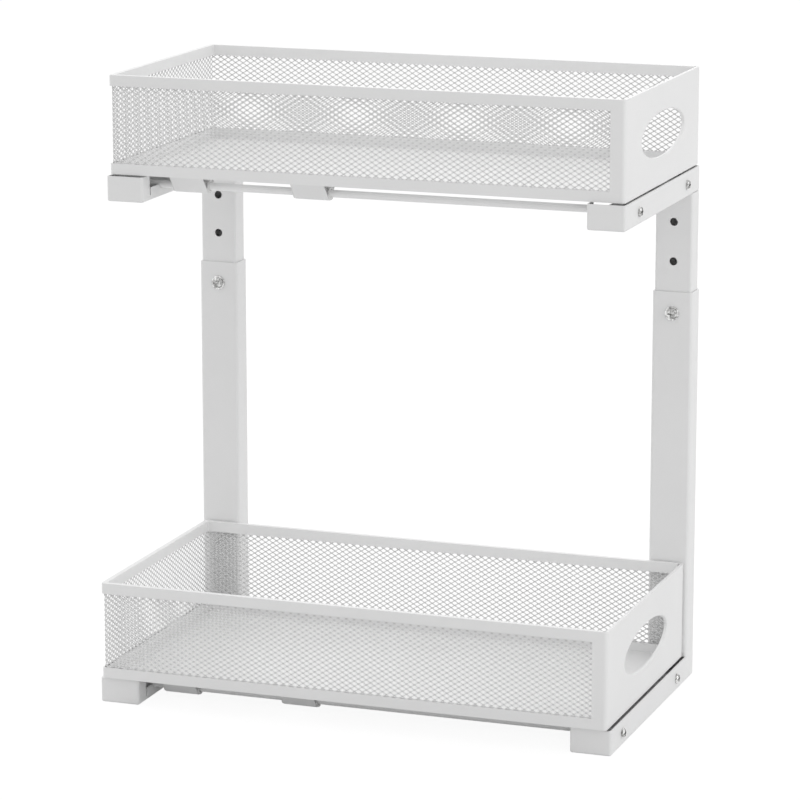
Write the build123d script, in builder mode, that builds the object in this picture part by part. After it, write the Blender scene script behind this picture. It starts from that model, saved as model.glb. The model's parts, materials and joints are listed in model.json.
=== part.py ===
from build123d import *
import os

os.makedirs("parts", exist_ok=True)

# Overall layout
basket_length = 420.0
basket_height = 78.0
tier_spacing = 402.0
basket_to_arm_gap = 1.2
side_reveal = 2.8
lower_basket_overhang = 3.5
upper_basket_setback = 3.0
lower_arm_length = 236.0
upper_step_back = 25.0
basket_to_post_gap = 1.3

# Folded sheet
frame_sheet = 1.2
basket_sheet = 1.2

# Arms: folded trays with a cut-down inner wall
arm_height = 20.0
arm_corner_radius = 2.0
arm_edge_radius = 1.5
arm_tab_length = 14.5
arm_slit_width = 2.0
arm_slit_bottom = 4.0
rail_to_wall_gap = 0.4

# Telescopic posts
sleeve_width = 33.0
sleeve_depth = 22.2
sleeve_wall = 1.0
sleeve_corner_radius = 2.5
sleeve_length = 302.0
post_fit_gap = 0.3
post_wall = 1.0
post_corner_radius = 1.8
post_end_below_screw = 122.0

# Height lock
lock_screw_below_sleeve_top = 17.5
lock_hole_radius = 3.3
lock_steps = (74.0, 42.0, 0.0, -32.0, -64.0)
insert_flange_radius = 5.8
insert_flange_thickness = 0.8
insert_shank_radius = 4.2
insert_inner_gap = 0.1
lock_screw_radius = 3.0
lock_head_radius = 4.5
lock_head_height = 2.6
lock_thread_gap = 0.05

# Rails and their screws
rail_radius = 3.0
upper_front_rail_inset = 37.5
upper_back_rail_inset = 18.1
lower_front_rail_inset = 31.0
lower_back_rail_inset = 28.8
rail_tap_depth = 12.0
rail_tap_gap = 0.05
rail_screw_radius = 2.0
rail_screw_grip = 9.0
rail_screw_hole_gap = 0.15
rail_head_radius = 4.0
rail_head_height = 2.4
head_round = 1.8
recess_width = 1.5
recess_reach_share = 0.66
recess_depth_share = 0.7

# Basket walls
rim_height = 8.5
lip_height = 8.5
mesh_gap = 0.4
mesh_thickness = 0.9
basket_corner_radius = 3.0
least_corner_radius = 0.25
panel_flange = 12.0
panel_hem_height = 6.0
panel_hem_thickness = 1.0
net_pitch_along = 15.6
net_pitch_up = 10.2
net_strand = 1.7

# Handle hole in the end panel
handle_length = 120.0
handle_height = 35.0
handle_lip_depth = 1.2
handle_lip_sheet = 1.0
handle_edge_round = 0.9

# Sliders under the basket
slider_length = 28.0
slider_place_shares = (-0.367, -0.125)
slider_barrel_radius = 5.6
slider_sheet = 1.0
slider_shoulder_reach = 17.0
slider_flange_reach = 21.0
liner_running_gap = 0.25
liner_collar_radius = 5.2
liner_collar_thickness = 1.2

# Places worked out from the sizes above
overall_depth = lower_arm_length + lower_basket_overhang
frame_back = overall_depth / 2
lower_arm_front = frame_back - lower_arm_length
upper_arm_front = lower_arm_front + upper_step_back
post_inset = sleeve_wall + post_fit_gap
post_width = sleeve_width - 2 * post_inset
post_depth = sleeve_depth - 2 * post_inset
lower_frame_width = basket_length + 2 * side_reveal
upper_frame_width = lower_frame_width - 2 * post_inset
sleeve_front = frame_back - sleeve_depth
post_front = sleeve_front + post_inset
post_back = frame_back - post_inset
upper_arm_length = post_back - upper_arm_front
post_x = lower_frame_width / 2 - sleeve_width / 2
post_y = frame_back - sleeve_depth / 2

lower_basket_bottom = arm_height + basket_to_arm_gap
upper_basket_bottom = lower_basket_bottom + tier_spacing
upper_arm_bottom = upper_basket_bottom - basket_to_arm_gap - arm_height
sleeve_top = arm_height + sleeve_length
lock_height = sleeve_top - lock_screw_below_sleeve_top
post_bottom = lock_height - post_end_below_screw

lower_basket_front = lower_arm_front - lower_basket_overhang
upper_basket_front = upper_arm_front + upper_basket_setback
lower_basket_depth = sleeve_front - basket_to_post_gap - lower_basket_front
upper_basket_depth = frame_back - upper_basket_front
lower_rail_ys = (lower_arm_front + lower_front_rail_inset, sleeve_front - lower_back_rail_inset)
upper_rail_ys = (upper_arm_front + upper_front_rail_inset, post_front - upper_back_rail_inset)
inner_wall_height = arm_height / 2
rim_thickness = 2 * basket_sheet + 2 * mesh_gap + mesh_thickness
mesh_recess = basket_sheet + mesh_gap
liner_radius = slider_barrel_radius - slider_sheet
liner_bore_radius = rail_radius + liner_running_gap


def save(part, name):
    part.label = name
    export_step(part, f"parts/{name}.step")


# Folded tray: full walls in front and at the post, and between them a half-height inner wall,
# slit from the front tab and notched for the rails
def frame_arm(side, frame_width, width, length, front, bottom, rail_ys):
    middle_x = side * (frame_width - width) / 2
    middle_y = front + length / 2
    low_length = length - arm_tab_length - sleeve_depth
    low_middle = front + arm_tab_length + low_length / 2
    inner_wall_x = side * (frame_width / 2 - width + frame_sheet / 2)
    with BuildPart() as arm:
        with BuildSketch(Plane(origin=(middle_x, middle_y, bottom))):
            RectangleRounded(width, length, arm_corner_radius)
        extrude(amount=arm_height)
        fillet(arm.edges().group_by(Axis.Z)[0], radius=arm_edge_radius)
        with BuildSketch(Plane(origin=(middle_x, middle_y, bottom + frame_sheet))):
            RectangleRounded(width - 2 * frame_sheet, length - 2 * frame_sheet,
                             arm_corner_radius - frame_sheet / 2)
        extrude(amount=arm_height, mode=Mode.SUBTRACT)
        with BuildSketch(Plane(origin=(inner_wall_x, low_middle, bottom + inner_wall_height))):
            Rectangle(2 * frame_sheet, low_length)
        extrude(amount=arm_height, mode=Mode.SUBTRACT)
        slit_y = front + arm_tab_length + arm_slit_width / 2
        with BuildSketch(Plane(origin=(inner_wall_x, slit_y, bottom + arm_slit_bottom))):
            Rectangle(2 * frame_sheet, arm_slit_width)
        extrude(amount=arm_height, mode=Mode.SUBTRACT)
        for rail_y in rail_ys:
            screw_start = Plane(origin=(side * frame_width / 2, rail_y, bottom + arm_height / 2),
                                z_dir=(-side, 0, 0))
            with BuildSketch(screw_start):
                Circle(rail_screw_radius + rail_screw_hole_gap)
            extrude(amount=2 * frame_sheet, mode=Mode.SUBTRACT)
            notch_start = Plane(origin=(inner_wall_x - side * frame_sheet, rail_y, bottom + arm_height / 2),
                                z_dir=(side, 0, 0))
            with BuildSketch(notch_start):
                Circle(rail_radius + rail_to_wall_gap)
            extrude(amount=2 * frame_sheet, mode=Mode.SUBTRACT)
    return arm.part


# Upright tube with round holes in its front wall, or through both walls
def upright_tube(side, width, depth, wall, corner_radius, bottom, height, hole_heights, hole_radius,
                 both_walls):
    base = Plane(origin=(side * post_x, post_y, bottom))
    with BuildPart() as tube:
        with BuildSketch(base):
            RectangleRounded(width, depth, corner_radius)
            RectangleRounded(width - 2 * wall, depth - 2 * wall, corner_radius - wall / 2,
                             mode=Mode.SUBTRACT)
        extrude(amount=height)
        for hole_height in hole_heights:
            hole_start = Plane(origin=(side * post_x, post_y, hole_height), z_dir=(0, -1, 0))
            with BuildSketch(hole_start):
                Circle(hole_radius)
            extrude(amount=depth, both=both_walls, mode=Mode.SUBTRACT)
    return tube.part


# Round bar between the outer walls of two arms, tapped at both ends
def round_rail(frame_width, rail_y, rail_z):
    rail_length = frame_width - 2 * frame_sheet
    with BuildPart() as rail:
        with BuildSketch(Plane(origin=(-rail_length / 2, rail_y, rail_z), z_dir=(1, 0, 0))):
            Circle(rail_radius)
        extrude(amount=rail_length)
        for side in (-1, 1):
            rail_end = Plane(origin=(side * rail_length / 2, rail_y, rail_z), z_dir=(-side, 0, 0))
            with BuildSketch(rail_end):
                Circle(rail_screw_radius + rail_tap_gap)
            extrude(amount=rail_tap_depth, mode=Mode.SUBTRACT)
    return rail.part


# Cross-recess screws, one on each seat plane, with the shank going in behind the seat
def pan_head_screws(seats, head_radius, head_height, shank_radius, shank_length):
    recess_reach = 2 * head_radius * recess_reach_share
    with BuildPart() as screw:
        Cylinder(head_radius, head_height, align=(Align.CENTER, Align.CENTER, Align.MIN))
        fillet(screw.edges().group_by(Axis.Z)[-1], radius=head_round)
        Cylinder(shank_radius, shank_length, align=(Align.CENTER, Align.CENTER, Align.MAX))
        with BuildSketch(Plane.XY.offset(head_height)):
            Rectangle(recess_reach, recess_width)
            Rectangle(recess_width, recess_reach)
        extrude(amount=-head_height * recess_depth_share, mode=Mode.SUBTRACT)
    with BuildPart() as screws:
        for seat in seats:
            with Locations(seat):
                add(screw.part)
    return screws.part


# Corner radius of a basket outline that lies a little inside the outer face
def inner_radius(inset):
    return max(basket_corner_radius - inset, least_corner_radius)


# Sheet floor with lips folded up round the mesh, notched where the end panel's flanges pass
def basket_pan(front, depth, bottom):
    middle = front + depth / 2
    groove_inset = rim_thickness - basket_sheet
    with BuildPart() as pan:
        with BuildSketch(Plane(origin=(0, middle, bottom))):
            RectangleRounded(basket_length, depth, basket_corner_radius)
        extrude(amount=lip_height)
        with BuildSketch(Plane(origin=(-basket_length / 2, middle, bottom + basket_sheet))):
            with Locations((rim_thickness, 0)):
                Rectangle(basket_length - rim_thickness - 2 * basket_sheet, depth - 2 * rim_thickness,
                          align=(Align.MIN, Align.CENTER))
        extrude(amount=lip_height, mode=Mode.SUBTRACT)
        with BuildSketch(Plane(origin=(-basket_length / 2, middle, bottom + basket_sheet))) as groove:
            with Locations((basket_sheet, 0)):
                Rectangle(basket_length - rim_thickness, depth - 2 * basket_sheet,
                          align=(Align.MIN, Align.CENTER))
            fillet(groove.vertices().group_by(Axis.X)[0], radius=inner_radius(basket_sheet))
            with Locations((groove_inset, 0)):
                Rectangle(basket_length, depth - 2 * groove_inset, align=(Align.MIN, Align.CENTER),
                          mode=Mode.SUBTRACT)
        extrude(amount=lip_height, mode=Mode.SUBTRACT)
        with BuildSketch(Plane(origin=(basket_length / 2, middle, bottom))):
            Rectangle(basket_sheet, depth, align=(Align.MAX, Align.CENTER))
            for side in (-1, 1):
                with Locations((0, side * depth / 2)):
                    Rectangle(2 * panel_flange, 2 * basket_sheet)
                    Rectangle(2 * basket_corner_radius, 2 * basket_corner_radius)
        extrude(amount=lip_height, mode=Mode.SUBTRACT)
    return pan.part


# Folded rim over the top edge of the mesh on three sides, with a groove for the mesh
def basket_rim(front, depth, top):
    middle = front + depth / 2
    groove_width = rim_thickness - 2 * basket_sheet
    groove_inset = basket_sheet + groove_width
    with BuildPart() as rim:
        with BuildSketch(Plane(origin=(0, middle, top - rim_height))):
            RectangleRounded(basket_length, depth, basket_corner_radius)
            RectangleRounded(basket_length - 2 * rim_thickness, depth - 2 * rim_thickness,
                             inner_radius(rim_thickness), mode=Mode.SUBTRACT)
        extrude(amount=rim_height)
        with BuildSketch(Plane(origin=(0, middle, top - rim_height))):
            RectangleRounded(basket_length - 2 * basket_sheet, depth - 2 * basket_sheet,
                             inner_radius(basket_sheet))
            RectangleRounded(basket_length - 2 * groove_inset, depth - 2 * groove_inset,
                             inner_radius(groove_inset), mode=Mode.SUBTRACT)
        extrude(amount=rim_height - basket_sheet, mode=Mode.SUBTRACT)
        with BuildSketch(Plane(origin=(basket_length / 2, middle, top - rim_height))):
            Rectangle(rim_thickness, depth, align=(Align.MAX, Align.CENTER))
            for side in (-1, 1):
                with Locations((0, side * depth / 2)):
                    Rectangle(2 * panel_flange, 2 * basket_sheet)
        extrude(amount=rim_height, mode=Mode.SUBTRACT)
    return rim.part


# Flat diamond net, one holed face, standing on the plane's x line
def flat_net(plane, run, rise):
    open_rise = rise - 2 * (lip_height - basket_sheet)
    columns = int((run - panel_flange) / net_pitch_along)
    rows = round(open_rise / net_pitch_up)
    half_along = net_pitch_along / 2
    half_up = net_pitch_up / 2
    side_distance = half_along * half_up / (half_along ** 2 + half_up ** 2) ** 0.5
    opening_share = 1 - net_strand / 2 / side_distance
    along = half_along * opening_share
    up = half_up * opening_share
    with BuildPart() as net:
        with BuildSketch(plane):
            with Locations((0, rise / 2)):
                Rectangle(run, rise)
            for fewer in (0, 1):
                with Locations((0, rise / 2)):
                    with GridLocations(net_pitch_along, net_pitch_up, columns - fewer, rows - fewer):
                        Polygon((along, 0), (0, up), (-along, 0), (0, -up), mode=Mode.SUBTRACT)
        extrude(amount=mesh_thickness)
    return net.part


# End panel with flanges round both corners, a hemmed top and a lipped handle hole
def end_panel(front, depth, bottom):
    middle = front + depth / 2
    panel_inside = basket_length / 2 - basket_sheet
    hole_height = bottom + basket_height / 2
    with BuildPart() as panel:
        with BuildSketch(Plane(origin=(basket_length / 2, middle, bottom))) as outside:
            Rectangle(panel_flange, depth, align=(Align.MAX, Align.CENTER))
            fillet(outside.vertices().group_by(Axis.X)[-1], radius=basket_corner_radius)
        extrude(amount=basket_height)
        with BuildSketch(Plane(origin=(panel_inside, middle, bottom))) as inside:
            Rectangle(panel_flange, depth - 2 * basket_sheet, align=(Align.MAX, Align.CENTER))
            fillet(inside.vertices().group_by(Axis.X)[-1], radius=inner_radius(basket_sheet))
        extrude(amount=basket_height, mode=Mode.SUBTRACT)
        with BuildSketch(Plane(origin=(panel_inside, middle, bottom + basket_height - panel_hem_height))):
            Rectangle(panel_hem_thickness, depth - 2 * basket_corner_radius,
                      align=(Align.MAX, Align.CENTER))
        extrude(amount=panel_hem_height)
        with BuildSketch(Plane(origin=(panel_inside, middle, hole_height), x_dir=(0, 1, 0),
                               z_dir=(-1, 0, 0))):
            Ellipse(handle_length / 2 + handle_lip_sheet, handle_height / 2 + handle_lip_sheet)
        extrude(amount=handle_lip_depth)
        with BuildSketch(Plane(origin=(basket_length / 2, middle, hole_height), x_dir=(0, 1, 0),
                               z_dir=(-1, 0, 0))):
            Ellipse(handle_length / 2, handle_height / 2)
        extrude(amount=basket_sheet + handle_lip_depth, mode=Mode.SUBTRACT)
        outer_face = panel.faces().sort_by(Axis.X)[-1]
        fillet(outer_face.inner_wires()[0].edges(), radius=handle_edge_round)
    return panel.part


# Pressed slider section: a plate under the floor, sloping webs and a barrel round the rail
def slider(start_x, rail_y, rail_z, floor_rise):
    section = Plane(origin=(start_x, rail_y, rail_z), x_dir=(0, 1, 0), z_dir=(1, 0, 0))
    with BuildPart() as carrier:
        with BuildSketch(section):
            with BuildLine():
                CenterArc((0, 0), slider_barrel_radius, 0, 360)
                Line((-slider_shoulder_reach, floor_rise), (slider_shoulder_reach, floor_rise))
            make_hull()
            with Locations((0, floor_rise)):
                Rectangle(2 * slider_flange_reach, slider_sheet, align=(Align.CENTER, Align.MAX))
        extrude(amount=slider_length)
        with BuildSketch(section):
            with BuildLine():
                CenterArc((0, 0), slider_barrel_radius, 0, 360)
                Line((-slider_shoulder_reach, floor_rise), (slider_shoulder_reach, floor_rise))
            make_hull()
            offset(amount=-slider_sheet, mode=Mode.REPLACE)
        extrude(amount=slider_length, mode=Mode.SUBTRACT)
    return carrier.part


# Plastic liner: a bush round the rail, a rib up to the plate and a collar at each end
def slider_liner(start_x, rail_y, rail_z, floor_rise):
    section = Plane(origin=(start_x, rail_y, rail_z), x_dir=(0, 1, 0), z_dir=(1, 0, 0))
    with BuildPart() as liner:
        with BuildSketch(section):
            Circle(liner_radius)
            Rectangle(liner_radius, floor_rise - slider_sheet, align=(Align.CENTER, Align.MIN))
        extrude(amount=slider_length)
        for collar_start in (-liner_collar_thickness, slider_length):
            with BuildSketch(section.offset(collar_start)):
                Circle(liner_collar_radius)
            extrude(amount=liner_collar_thickness)
        with BuildSketch(section.offset(-liner_collar_thickness)):
            Circle(liner_bore_radius)
        extrude(amount=slider_length + 2 * liner_collar_thickness, mode=Mode.SUBTRACT)
    return liner.part


# One basket: pan, three nets, rim, end panel and four lined sliders
def save_basket(tier, front, depth, bottom, rail_ys):
    top = bottom + basket_height
    net_rise = basket_height - 2 * basket_sheet
    net_base = bottom + basket_sheet
    long_run = basket_length - 2 * (basket_corner_radius + mesh_gap)
    short_run = depth - 2 * (mesh_recess + mesh_thickness)
    left_x = -basket_length / 2 + mesh_recess
    front_y = front + mesh_recess
    back_y = front + depth - mesh_recess
    save(basket_pan(front, depth, bottom), f"{tier}_basket_pan")
    save(basket_rim(front, depth, top), f"{tier}_basket_rim")
    save(end_panel(front, depth, bottom), f"{tier}_end_panel")
    net_planes = {
        "front": Plane(origin=(0, front_y, net_base), x_dir=(-1, 0, 0), z_dir=(0, 1, 0)),
        "back": Plane(origin=(0, back_y, net_base), x_dir=(1, 0, 0), z_dir=(0, -1, 0)),
        "left": Plane(origin=(left_x, front + depth / 2, net_base), x_dir=(0, 1, 0), z_dir=(1, 0, 0)),
    }
    net_runs = {"front": long_run, "back": long_run, "left": short_run}
    for wall, plane in net_planes.items():
        save(flat_net(plane, net_runs[wall], net_rise), f"{tier}_{wall}_net")
    floor_rise = basket_to_arm_gap + arm_height / 2
    for rail_name, rail_y in zip(("front", "back"), rail_ys):
        for number, place_share in enumerate(slider_place_shares, start=1):
            start_x = place_share * basket_length - slider_length / 2
            place = (start_x, rail_y, bottom - floor_rise, floor_rise)
            save(slider(*place), f"{tier}_{rail_name}_slider_{number}")
            save(slider_liner(*place), f"{tier}_{rail_name}_liner_{number}")


# Two rails and the four screws that hold them
def save_rails(tier, frame_width, arm_bottom, rail_ys):
    rail_z = arm_bottom + arm_height / 2
    for rail_name, rail_y in zip(("front", "back"), rail_ys):
        save(round_rail(frame_width, rail_y, rail_z), f"{tier}_{rail_name}_rail")
    seats = [
        Plane(origin=(side * frame_width / 2, rail_y, rail_z), z_dir=(side, 0, 0))
        for side in (-1, 1) for rail_y in rail_ys
    ]
    screws = pan_head_screws(seats, rail_head_radius, rail_head_height, rail_screw_radius,
                             frame_sheet + rail_screw_grip)
    save(screws, f"{tier}_rail_screws")


sides = {"left": -1, "right": 1}
lock_hole_heights = [lock_height + step for step in lock_steps]

for side_name, side in sides.items():
    save(frame_arm(side, lower_frame_width, sleeve_width, lower_arm_length, lower_arm_front,
                   0, lower_rail_ys), f"lower_{side_name}_arm")
    save(frame_arm(side, upper_frame_width, post_width, upper_arm_length, upper_arm_front,
                   upper_arm_bottom, upper_rail_ys), f"upper_{side_name}_arm")
    save(upright_tube(side, sleeve_width, sleeve_depth, sleeve_wall, sleeve_corner_radius,
                      arm_height, sleeve_length, [lock_height],
                      insert_shank_radius + lock_thread_gap, False), f"{side_name}_sleeve_post")
    save(upright_tube(side, post_width, post_depth, post_wall, post_corner_radius,
                      post_bottom, upper_arm_bottom - post_bottom, lock_hole_heights,
                      lock_hole_radius, True), f"{side_name}_inner_post")

save_rails("lower", lower_frame_width, 0, lower_rail_ys)
save_rails("upper", upper_frame_width, upper_arm_bottom, upper_rail_ys)
save_basket("lower", lower_basket_front, lower_basket_depth, lower_basket_bottom, lower_rail_ys)
save_basket("upper", upper_basket_front, upper_basket_depth, upper_basket_bottom, upper_rail_ys)

# Flanged thread inserts in the sleeves, and the screws in them
insert_seats = [
    Plane(origin=(side * post_x, sleeve_front, lock_height), z_dir=(0, -1, 0)) for side in sides.values()
]
with BuildPart() as lock_inserts:
    for seat in insert_seats:
        with BuildSketch(seat):
            Circle(insert_flange_radius)
        extrude(amount=insert_flange_thickness)
        with BuildSketch(seat):
            Circle(insert_shank_radius)
        extrude(amount=-(sleeve_wall - insert_inner_gap))
        with BuildSketch(seat.offset(insert_flange_thickness)):
            Circle(lock_screw_radius + lock_thread_gap)
        extrude(amount=-(insert_flange_thickness + sleeve_wall), mode=Mode.SUBTRACT)
save(lock_inserts.part, "lock_inserts")

screw_seats = [seat.offset(insert_flange_thickness) for seat in insert_seats]
lock_screws = pan_head_screws(screw_seats, lock_head_radius, lock_head_height, lock_screw_radius,
                              insert_flange_thickness + sleeve_wall - insert_inner_gap)
save(lock_screws, "lock_screws")
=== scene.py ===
import bpy
import bmesh
import json
import math
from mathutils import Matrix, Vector


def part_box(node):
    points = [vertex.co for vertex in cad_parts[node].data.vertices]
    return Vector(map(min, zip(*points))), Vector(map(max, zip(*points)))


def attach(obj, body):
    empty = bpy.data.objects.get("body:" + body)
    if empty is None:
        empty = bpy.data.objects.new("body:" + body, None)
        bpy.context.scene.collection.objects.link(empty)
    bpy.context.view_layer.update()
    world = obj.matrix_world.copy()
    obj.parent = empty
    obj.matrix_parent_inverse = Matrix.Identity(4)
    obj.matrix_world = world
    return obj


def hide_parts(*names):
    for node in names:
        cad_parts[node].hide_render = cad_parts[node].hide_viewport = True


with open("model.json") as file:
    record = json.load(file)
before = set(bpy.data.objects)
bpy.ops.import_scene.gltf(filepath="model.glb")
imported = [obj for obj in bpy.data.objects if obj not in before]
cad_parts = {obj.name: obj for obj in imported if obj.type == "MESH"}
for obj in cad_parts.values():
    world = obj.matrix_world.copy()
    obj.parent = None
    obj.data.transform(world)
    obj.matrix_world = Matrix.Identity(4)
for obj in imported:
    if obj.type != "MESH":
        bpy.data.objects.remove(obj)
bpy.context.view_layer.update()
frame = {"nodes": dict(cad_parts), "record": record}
nodes = frame["nodes"]
print("frame loaded:", len(nodes), "nodes")


def makeObject(bm, name, material):
    mesh = bpy.data.meshes.new(name)
    bm.to_mesh(mesh)
    bm.free()
    mesh.materials.append(material)
    made = bpy.data.objects.new(name, mesh)
    bpy.context.scene.collection.objects.link(made)
    return made


def linkPiece(bm, name, material, body):
    piece = makeObject(bm, name, material)
    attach(piece, body)
    return piece


def addSockets(group, direction, kind, *names):
    for name in names:
        group.interface.new_socket(name=name, in_out=direction, socket_type=kind)


def setInputs(node, values):
    for name, value in values.items():
        node.inputs[name].default_value = value


def addMath(tree, operation, first, second=None):
    node = tree.nodes.new("ShaderNodeMath")
    node.operation = operation
    tree.links.new(first, node.inputs[0])
    if second is not None:
        tree.links.new(second, node.inputs[1])
    return node.outputs[0]


coatNoise = {
    "cloudDetail": 3,
    "cloudRoughness": 0.55,
    "peelDetail": 1.5,
    "lowest": 0.35,  # the noise between lowest and highest is spread to the full range
    "highest": 0.65,
}


def makeCoatGroup(spec):
    # sprayed paint: soft clouds in the colour, orange peel in the height
    group = bpy.data.node_groups.new("sprayedCoat", "ShaderNodeTree")
    addSockets(group, "INPUT", "NodeSocketColor", "Paint", "Cloud Paint")
    addSockets(group, "INPUT", "NodeSocketFloat",
               "Cloud Scale", "Peel Scale", "Smoothest", "Roughest")
    addSockets(group, "OUTPUT", "NodeSocketColor", "Colour")
    addSockets(group, "OUTPUT", "NodeSocketFloat", "Roughness", "Peel")
    new = group.nodes.new
    link = group.links.new
    given = new("NodeGroupInput")
    place = new("ShaderNodeTexCoord")

    def makeNoise(scaleName, detail):
        noise = new("ShaderNodeTexNoise")
        noise.inputs["Detail"].default_value = detail
        link(place.outputs["Object"], noise.inputs["Vector"])
        link(given.outputs[scaleName], noise.inputs["Scale"])
        spread = new("ShaderNodeMapRange")
        setInputs(spread, {"From Min": spec["lowest"], "From Max": spec["highest"]})
        link(noise.outputs["Fac"], spread.inputs["Value"])
        return noise, spread

    clouds, cloudShare = makeNoise("Cloud Scale", spec["cloudDetail"])
    clouds.inputs["Roughness"].default_value = spec["cloudRoughness"]
    tint = new("ShaderNodeMix")
    tint.data_type = "RGBA"
    link(cloudShare.outputs["Result"], tint.inputs["Factor"])
    link(given.outputs["Paint"], tint.inputs["A"])
    link(given.outputs["Cloud Paint"], tint.inputs["B"])
    peel, gloss = makeNoise("Peel Scale", spec["peelDetail"])
    link(given.outputs["Smoothest"], gloss.inputs["To Min"])
    link(given.outputs["Roughest"], gloss.inputs["To Max"])
    made = new("NodeGroupOutput")
    link(tint.outputs["Result"], made.inputs["Colour"])
    link(gloss.outputs["Result"], made.inputs["Roughness"])
    link(peel.outputs["Fac"], made.inputs["Peel"])
    return group


coatGroup = makeCoatGroup(coatNoise)
plainCoat = {"metal": 0, "shine": 0.4}  # for a finish that gives neither


def coatMaterial(name, finish):
    look = {**plainCoat, **finish}
    material = bpy.data.materials.new(name)
    material.use_nodes = True
    tree = material.node_tree
    shader = tree.nodes["Principled BSDF"]
    setInputs(shader, {"Metallic": look["metal"], "Specular IOR Level": look["shine"]})
    coat = tree.nodes.new("ShaderNodeGroup")
    coat.node_tree = coatGroup
    setInputs(coat, {
        "Paint": (*look["paint"], 1),
        "Cloud Paint": (*look["cloud"], 1),
        "Cloud Scale": look["cloudScale"],
        "Peel Scale": look["peelScale"],
        "Smoothest": look["smoothest"],
        "Roughest": look["roughest"],
    })
    bump = tree.nodes.new("ShaderNodeBump")
    setInputs(bump, {"Strength": look["peelStrength"], "Distance": look["peelDepth"]})
    tree.links.new(coat.outputs["Colour"], shader.inputs["Base Color"])
    tree.links.new(coat.outputs["Roughness"], shader.inputs["Roughness"])
    tree.links.new(coat.outputs["Peel"], bump.inputs["Height"])
    tree.links.new(bump.outputs["Normal"], shader.inputs["Normal"])
    return material


frameFinish = {
    "paint": (0.85, 0.85, 0.85), "cloud": (0.835, 0.835, 0.835), "cloudScale": 14,
    "peelScale": 700, "peelStrength": 0.25, "peelDepth": 0.0001,
    "smoothest": 0.42, "roughest": 0.52,
}
basketFinish = {
    "paint": (0.865, 0.865, 0.865), "cloud": (0.848, 0.848, 0.848), "cloudScale": 11,
    "peelScale": 650, "peelStrength": 0.25, "peelDepth": 0.0001,
    "smoothest": 0.42, "roughest": 0.52,
}
meshFinish = {
    "paint": (0.81, 0.81, 0.81), "cloud": (0.79, 0.79, 0.79), "cloudScale": 30,
    "peelScale": 1400, "peelStrength": 0.15, "peelDepth": 0.00005,
    "smoothest": 0.45, "roughest": 0.58,
    # the bond colour is painted shade: strand joins are darkened where the twisted metal would
    # lie in shadow
    "bondPaintedShade": (0.66, 0.66, 0.66), "bondEdge": 0.3, "bondCore": 0.85,
}
railFinish = {
    "paint": (0.9, 0.9, 0.9), "cloud": (0.885, 0.885, 0.885), "cloudScale": 40,
    "peelScale": 900, "peelStrength": 0.1, "peelDepth": 0.00005,
    "smoothest": 0.28, "roughest": 0.36,
}
# screw steel: its dark clouds are painted reflection, standing in for dark surroundings mirrored
# in the bright metal
screwFinish = {
    "paint": (0.9, 0.9, 0.895), "cloud": (0.25, 0.25, 0.245), "cloudScale": 420,
    "peelScale": 2600, "peelStrength": 0.1, "peelDepth": 0.00003,
    "smoothest": 0.16, "roughest": 0.3, "metal": 1.0, "shine": 0.5,
}
plasticFinish = {
    "paint": (0.78, 0.78, 0.775), "cloud": (0.765, 0.765, 0.76), "cloudScale": 60,
    "peelScale": 1800, "peelStrength": 0.2, "peelDepth": 0.00005,
    "smoothest": 0.48, "roughest": 0.6,
}
finishes = {
    "frame_paint": coatMaterial("framePaint", frameFinish),
    "basket_paint": coatMaterial("basketPaint", basketFinish),
    "mesh_paint": coatMaterial("meshPaint", meshFinish),
    "rail_paint": coatMaterial("railPaint", railFinish),
    "screw_steel": coatMaterial("screwSteel", screwFinish),
    "slider_plastic": coatMaterial("sliderPlastic", plasticFinish),
}
subparts = frame["record"]["subparts"]
for subpart in subparts:
    cadMesh = nodes[subpart["node"]].data
    cadMesh.materials.clear()
    cadMesh.materials.append(finishes[subpart["material_slot"]])
print("finishes set on", len(subparts), "nodes")


wallMesh = {
    "cellLength": 0.00662,
    "cellHeight": 0.00414,
    "strand": 0.0008,
    "thickness": 0.0006,
    "lean": 0.0002,  # lower edge of a strand stands out, upper edge in
    "cornerRadius": 0.00095,
    "cornerCuts": (0, 0.5, 1),  # shares of each corner where the flat strip is cut to bend
}


def makeBondGroup():
    # 1 where two strands of the wall mesh meet, 0 halfway along a strand; this places the
    # painted shade at the joins
    group = bpy.data.node_groups.new("meshBonds", "ShaderNodeTree")
    addSockets(group, "INPUT", "NodeSocketFloat", "Right End", "Middle", "Half Depth", "Base",
               "Waves Along", "Waves Up", "Side Sign")
    addSockets(group, "OUTPUT", "NodeSocketFloat", "Bond")
    given = group.nodes.new("NodeGroupInput").outputs
    place = group.nodes.new("ShaderNodeTexCoord")
    axes = group.nodes.new("ShaderNodeSeparateXYZ")
    group.links.new(place.outputs["Object"], axes.inputs[0])

    def wave(distance, waves):
        return addMath(group, "COSINE", addMath(group, "MULTIPLY", distance, waves))

    fromMiddle = addMath(group, "SUBTRACT", axes.outputs["Y"], given["Middle"])
    sideways = addMath(group, "ABSOLUTE", fromMiddle)
    onLongWall = addMath(group, "GREATER_THAN", sideways, given["Half Depth"])
    fromRight = addMath(group, "SUBTRACT", given["Right End"], axes.outputs["X"])
    longWave = wave(fromRight, given["Waves Along"])
    sideWave = addMath(group, "MULTIPLY", wave(fromMiddle, given["Waves Along"]),
                       given["Side Sign"])
    fromBase = addMath(group, "SUBTRACT", axes.outputs["Z"], given["Base"])
    upWave = wave(fromBase, given["Waves Up"])
    along = group.nodes.new("ShaderNodeMix")
    group.links.new(onLongWall, along.inputs["Factor"])
    group.links.new(sideWave, along.inputs["A"])
    group.links.new(longWave, along.inputs["B"])
    made = group.nodes.new("NodeGroupOutput")
    bond = addMath(group, "MULTIPLY", along.outputs["Result"], upWave)
    group.links.new(bond, made.inputs["Bond"])
    return group


bondGroup = makeBondGroup()


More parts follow.
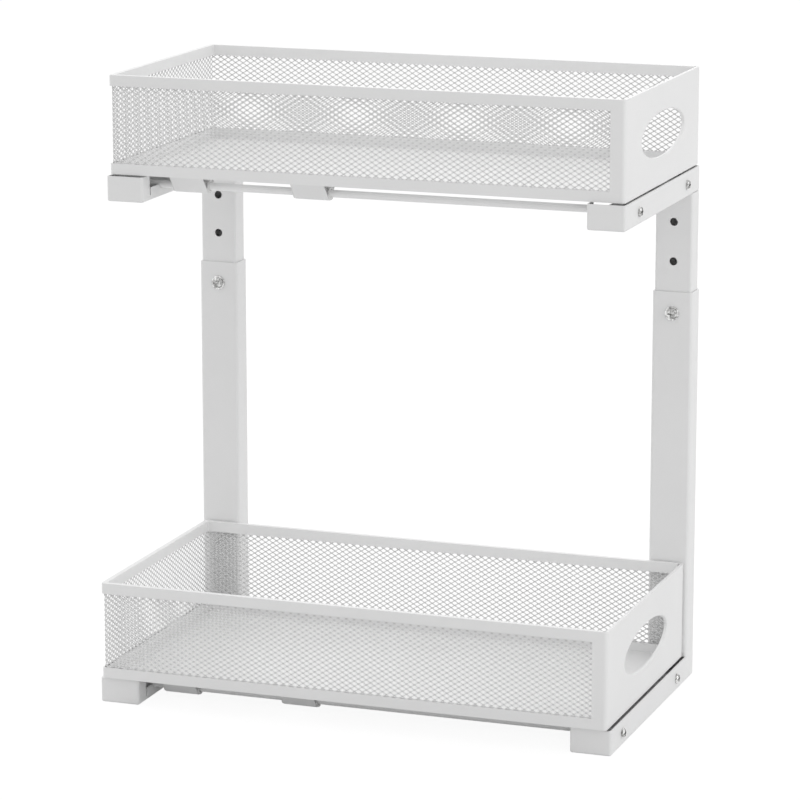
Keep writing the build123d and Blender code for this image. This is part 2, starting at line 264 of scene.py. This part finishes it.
def meshMaterial(name, finish, bondInputs):
    material = coatMaterial(name, finish)
    tree = material.node_tree
    shader = tree.nodes["Principled BSDF"]
    coated = shader.inputs["Base Color"].links[0].from_socket
    bonds = tree.nodes.new("ShaderNodeGroup")
    bonds.node_tree = bondGroup
    setInputs(bonds, bondInputs)
    # painted shade: the coat colour is darkened at the strand joins, spread between bondEdge and
    # bondCore of the bond mask
    spread = tree.nodes.new("ShaderNodeMapRange")
    setInputs(spread, {"From Min": finish["bondEdge"], "From Max": finish["bondCore"]})
    tint = tree.nodes.new("ShaderNodeMix")
    tint.data_type = "RGBA"
    tint.inputs["B"].default_value = (*finish["bondPaintedShade"], 1)
    tree.links.new(bonds.outputs["Bond"], spread.inputs["Value"])
    tree.links.new(spread.outputs["Result"], tint.inputs["Factor"])
    tree.links.new(coated, tint.inputs["A"])
    tree.links.new(tint.outputs["Result"], shader.inputs["Base Color"])
    return material


def flatMesh(length, height, columns, rows, spec):
    # squares poked and their own edges dissolved leave diamonds, which are inset to strands
    bm = bmesh.new()
    bmesh.ops.create_grid(bm, x_segments=columns, y_segments=rows, size=0.5)  # one unit wide
    bmesh.ops.scale(bm, vec=(length, height, 1), verts=bm.verts[:])
    bmesh.ops.translate(bm, vec=(length / 2, height / 2, 0), verts=bm.verts[:])
    squareEdges = [edge for edge in bm.edges if not edge.is_boundary]
    bmesh.ops.poke(bm, faces=bm.faces[:])
    bmesh.ops.dissolve_edges(bm, edges=squareEdges, use_verts=False)
    diamonds = bm.faces[:]
    bmesh.ops.inset_individual(bm, faces=diamonds, thickness=spec["strand"] / 2,
                               use_even_offset=True)
    for diamond in diamonds:
        middle = diamond.calc_center_median()
        reach = max(vert.co.y for vert in diamond.verts) - middle.y
        for vert in diamond.verts:
            vert.co.z -= spec["lean"] * (vert.co.y - middle.y) / reach
    bmesh.ops.delete(bm, geom=diamonds, context="FACES")
    return bm


def wallRuns(corners, radius, right):
    # lengths of the straight front, of a corner and of the straight left side
    left, front, back = corners
    return right - left - radius, math.pi / 2 * radius, back - front - 2 * radius


def bendRound(bm, corners, radius, right, bottom):
    # the flat strip follows the front wall, the left wall and the back wall
    left, front, back = corners
    frontRun, arcRun, sideRun = wallRuns(corners, radius, right)
    for vert in bm.verts:
        along, up, inward = vert.co
        if along < frontRun:
            spot = (right - along, front + inward)
        elif along < frontRun + arcRun:
            turn = (along - frontRun) / radius
            spot = (left + radius - (radius - inward) * math.sin(turn),
                    front + radius - (radius - inward) * math.cos(turn))
        elif along < frontRun + arcRun + sideRun:
            spot = (left + inward, front + radius + along - frontRun - arcRun)
        elif along < frontRun + 2 * arcRun + sideRun:
            turn = (along - frontRun - arcRun - sideRun) / radius
            spot = (left + radius - (radius - inward) * math.cos(turn),
                    back - radius + (radius - inward) * math.sin(turn))
        else:
            spot = (left + radius + along - frontRun - 2 * arcRun - sideRun, back - inward)
        vert.co = (*spot, bottom + up)


def cutFlat(bm, place, normal, clearOuter=False):
    bmesh.ops.bisect_plane(bm, geom=bm.verts[:] + bm.edges[:] + bm.faces[:],
                           clear_outer=clearOuter, plane_co=place, plane_no=normal)


def makeWallMesh(tier, spec):
    frontLow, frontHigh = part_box(f"{tier}_front_net")
    backLow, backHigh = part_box(f"{tier}_back_net")
    leftLow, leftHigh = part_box(f"{tier}_left_net")
    right = frontHigh.x
    left = (leftLow.x + leftHigh.x) / 2
    front = (frontLow.y + frontHigh.y) / 2
    back = (backLow.y + backHigh.y) / 2
    radius = spec["cornerRadius"]
    frontRun, arcRun, sideRun = wallRuns((left, front, back), radius, right)
    length = 2 * (frontRun + arcRun) + sideRun
    height = frontHigh.z - frontLow.z
    columns = round(length / spec["cellLength"])
    rows = math.ceil(height / spec["cellHeight"])
    spare = rows * spec["cellHeight"] - height
    bm = flatMesh(length, height + spare, columns, rows, spec)
    bmesh.ops.translate(bm, vec=(0, -spare / 2, 0), verts=bm.verts[:])
    for edge, outward in ((0, -1), (height, 1)):  # spare rows are cut off, inside lip and rim
        cutFlat(bm, (0, edge, 0), (0, outward, 0), clearOuter=True)
    for start in (frontRun, frontRun + arcRun + sideRun):
        for share in spec["cornerCuts"]:
            cutFlat(bm, (start + share * arcRun, 0, 0), (1, 0, 0))
    bmesh.ops.translate(bm, vec=(0, 0, -spec["thickness"] / 2), verts=bm.verts[:])
    bmesh.ops.solidify(bm, geom=bm.faces[:], thickness=-spec["thickness"])
    bendRound(bm, (left, front, back), radius, right, frontLow.z)
    bmesh.ops.recalc_face_normals(bm, faces=bm.faces[:])
    material = meshMaterial(f"{tier}MeshPaintJoinShade", meshFinish, {
        "Right End": right,
        "Middle": (front + back) / 2,
        "Half Depth": (back - front) / 2 - 2 * radius,
        "Base": frontLow.z - spare / 2,
        "Waves Along": 2 * math.pi * columns / length,
        "Waves Up": 2 * math.pi / spec["cellHeight"],
        "Side Sign": 1 - 2 * (columns % 2),
    })
    wall = linkPiece(bm, f"{tier}WallMesh", material, f"{tier}_basket")
    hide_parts(f"{tier}_front_net", f"{tier}_back_net", f"{tier}_left_net")
    print(wall.name, "faces:", len(wall.data.polygons))


for tier in ("lower", "upper"):
    makeWallMesh(tier, wallMesh)


studio = {
    "floorSize": 12,  # from the middle to an edge
    "floorPaint": (0.75, 0.75, 0.75),
    "floorRoughness": 0.9,
    "floorGlow": 0.85,  # share of the floor that is seen as plain white
    "glowStrength": 1.09,
    "worldColour": (1, 1, 1),
    "worldStrength": 0.785,
    "backdropStrength": 1,
}


def makeFloor(spec):
    material = bpy.data.materials.new("paleFloor")
    material.use_nodes = True
    tree = material.node_tree
    shader = tree.nodes["Principled BSDF"]
    setInputs(shader, {
        "Base Color": (*spec["floorPaint"], 1),
        "Roughness": spec["floorRoughness"],
        "Specular IOR Level": 0,
    })
    glow = tree.nodes.new("ShaderNodeEmission")
    glow.inputs["Strength"].default_value = spec["glowStrength"]
    rays = tree.nodes.new("ShaderNodeLightPath").outputs
    glassy = addMath(tree, "ADD", rays["Is Glossy Ray"], rays["Is Transmission Ray"])
    seen = addMath(tree, "ADD", rays["Is Camera Ray"], glassy)
    seen.node.use_clamp = True
    share = addMath(tree, "MULTIPLY", seen)
    share.node.inputs[1].default_value = spec["floorGlow"]
    blend = tree.nodes.new("ShaderNodeMixShader")
    tree.links.new(share, blend.inputs["Fac"])
    tree.links.new(shader.outputs[0], blend.inputs[1])
    tree.links.new(glow.outputs[0], blend.inputs[2])
    tree.links.new(blend.outputs[0], tree.nodes["Material Output"].inputs["Surface"])
    bm = bmesh.new()
    bmesh.ops.create_grid(bm, x_segments=1, y_segments=1, size=spec["floorSize"])
    floor = makeObject(bm, "floor", material)


def makeWorld(spec):
    world = bpy.data.worlds.new("paleRoom")
    bpy.context.scene.world = world
    world.use_nodes = True
    tree = world.node_tree
    colour = (*spec["worldColour"], 1)
    room = tree.nodes["Background"]
    setInputs(room, {"Color": colour, "Strength": spec["worldStrength"]})
    backdrop = tree.nodes.new("ShaderNodeBackground")
    setInputs(backdrop, {"Color": colour, "Strength": spec["backdropStrength"]})
    rays = tree.nodes.new("ShaderNodeLightPath")
    blend = tree.nodes.new("ShaderNodeMixShader")
    tree.links.new(rays.outputs["Is Camera Ray"], blend.inputs["Fac"])
    tree.links.new(room.outputs[0], blend.inputs[1])
    tree.links.new(backdrop.outputs[0], blend.inputs[2])
    tree.links.new(blend.outputs[0], tree.nodes["World Output"].inputs["Surface"])


lamps = {
    "rightLamp": {"place": (1.9, -0.15, 1.6), "target": (0, 0, 0.25), "size": 1.6, "power": 5.2},
    "lowLamp": {"place": (2.1, -0.4, 0.15), "target": (0, 0, 0.35), "size": 1, "power": 3.5},
    "leftLamp": {"place": (-1.9, 0.32, 1.7), "target": (0, 0, 0.2), "size": 1.6, "power": 11},
    "backLamp": {"place": (-0.3, 1.9, 1.7), "target": (0, 0, 0.2), "size": 1.6, "power": 11},
}


def makeLamp(name, spec):
    data = bpy.data.lights.new(name, "AREA")
    data.shape = "DISK"
    data.size = spec["size"]
    data.energy = spec["power"]
    lamp = bpy.data.objects.new(name, data)
    lamp.location = spec["place"]
    aim = Vector(spec["target"]) - Vector(spec["place"])
    lamp.rotation_euler = aim.to_track_quat("-Z", "Y").to_euler()
    bpy.context.scene.collection.objects.link(lamp)


makeFloor(studio)
makeWorld(studio)
for lampName, lampSpec in lamps.items():
    makeLamp(lampName, lampSpec)


cameraFit = {  # metres and degrees, lens and sensor in millimetres
    "place": (0.9807, -2.72755, 0.8822),
    "turn": 19.777,
    "tilt": 12.510,
    "lens": 167.5,
    "sensorWidth": 36,
    "clipStart": 0.05,
    "clipEnd": 50,
}


def makeCamera(spec):
    data = bpy.data.cameras.new("photoCamera")
    data.lens = spec["lens"]
    data.sensor_width = spec["sensorWidth"]
    data.clip_start = spec["clipStart"]
    data.clip_end = spec["clipEnd"]
    camera = bpy.data.objects.new("photoCamera", data)
    camera.location = spec["place"]
    camera.rotation_euler = (math.radians(90 - spec["tilt"]), 0, math.radians(spec["turn"]))
    bpy.context.scene.collection.objects.link(camera)
    bpy.context.scene.camera = camera


makeCamera(cameraFit)
bpy.context.scene.view_settings.view_transform = "Standard"
print("camera and light set")
